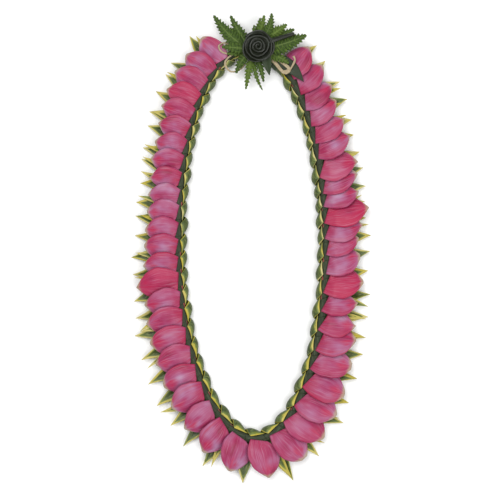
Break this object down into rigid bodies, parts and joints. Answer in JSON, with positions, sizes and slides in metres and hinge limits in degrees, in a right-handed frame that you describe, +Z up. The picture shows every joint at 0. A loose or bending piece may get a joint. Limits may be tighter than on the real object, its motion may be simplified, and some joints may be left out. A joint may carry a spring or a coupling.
{
  "type": "fresh flower lei",
  "caption": "Open oval lei of pink petals wound in with braided green leaves, with a rolled dark leaf rose, fern pieces and a raffia tie at the top.",
  "frame": {"origin": "centre of the lei's bounding box, at the level it lies on", "axes": "+Z up from the surface it lies on, +Y from the middle of the hole to the rose, +X to the right as seen from above with the rose at the top"},
  "size_m": [0.2534, 0.4933, 0.0335],
  "materials": {
    "petal": "satin",
    "folded_leaf": "satin",
    "fern": "matte",
    "ti_leaf": "gloss",
    "raffia": "matte",
    "cord": "matte"
  },
  "bodies": {
    "root": {"core_cord": "cord", "leaf_braid_1": "folded_leaf", "leaf_braid_2": "folded_leaf", "leaf_braid_3": "folded_leaf", "leaf_braid_4": "folded_leaf", "leaf_braid_5": "folded_leaf", "leaf_braid_6": "folded_leaf", "leaf_braid_7": "folded_leaf", "leaf_braid_8": "folded_leaf", "petal_01": "petal", "petal_02": "petal", "petal_03": "petal", "petal_04": "petal", "petal_05": "petal", "petal_06": "petal", "petal_07": "petal", "petal_08": "petal", "petal_09": "petal", "petal_10": "petal", "petal_11": "petal", "petal_12": "petal", "petal_13": "petal", "petal_14": "petal", "petal_15": "petal", "petal_16": "petal", "petal_17": "petal", "petal_18": "petal", "petal_19": "petal", "petal_20": "petal", "petal_21": "petal", "petal_22": "petal", "petal_23": "petal", "petal_24": "petal", "petal_25": "petal", "petal_26": "petal", "petal_27": "petal", "petal_28": "petal", "petal_29": "petal", "petal_30": "petal", "petal_31": "petal", "petal_32": "petal", "petal_33": "petal", "petal_34": "petal", "petal_35": "petal", "petal_36": "petal", "petal_37": "petal", "petal_38": "petal", "petal_39": "petal", "petal_40": "petal", "petal_41": "petal", "petal_42": "petal", "petal_43": "petal", "petal_44": "petal", "petal_45": "petal", "petal_46": "petal", "petal_47": "petal", "fern_fronds": "fern", "ti_leaf_rose": "ti_leaf", "ti_leaf_wrap": "ti_leaf", "raffia_tie": "raffia"}
  },
  "joints": []
}
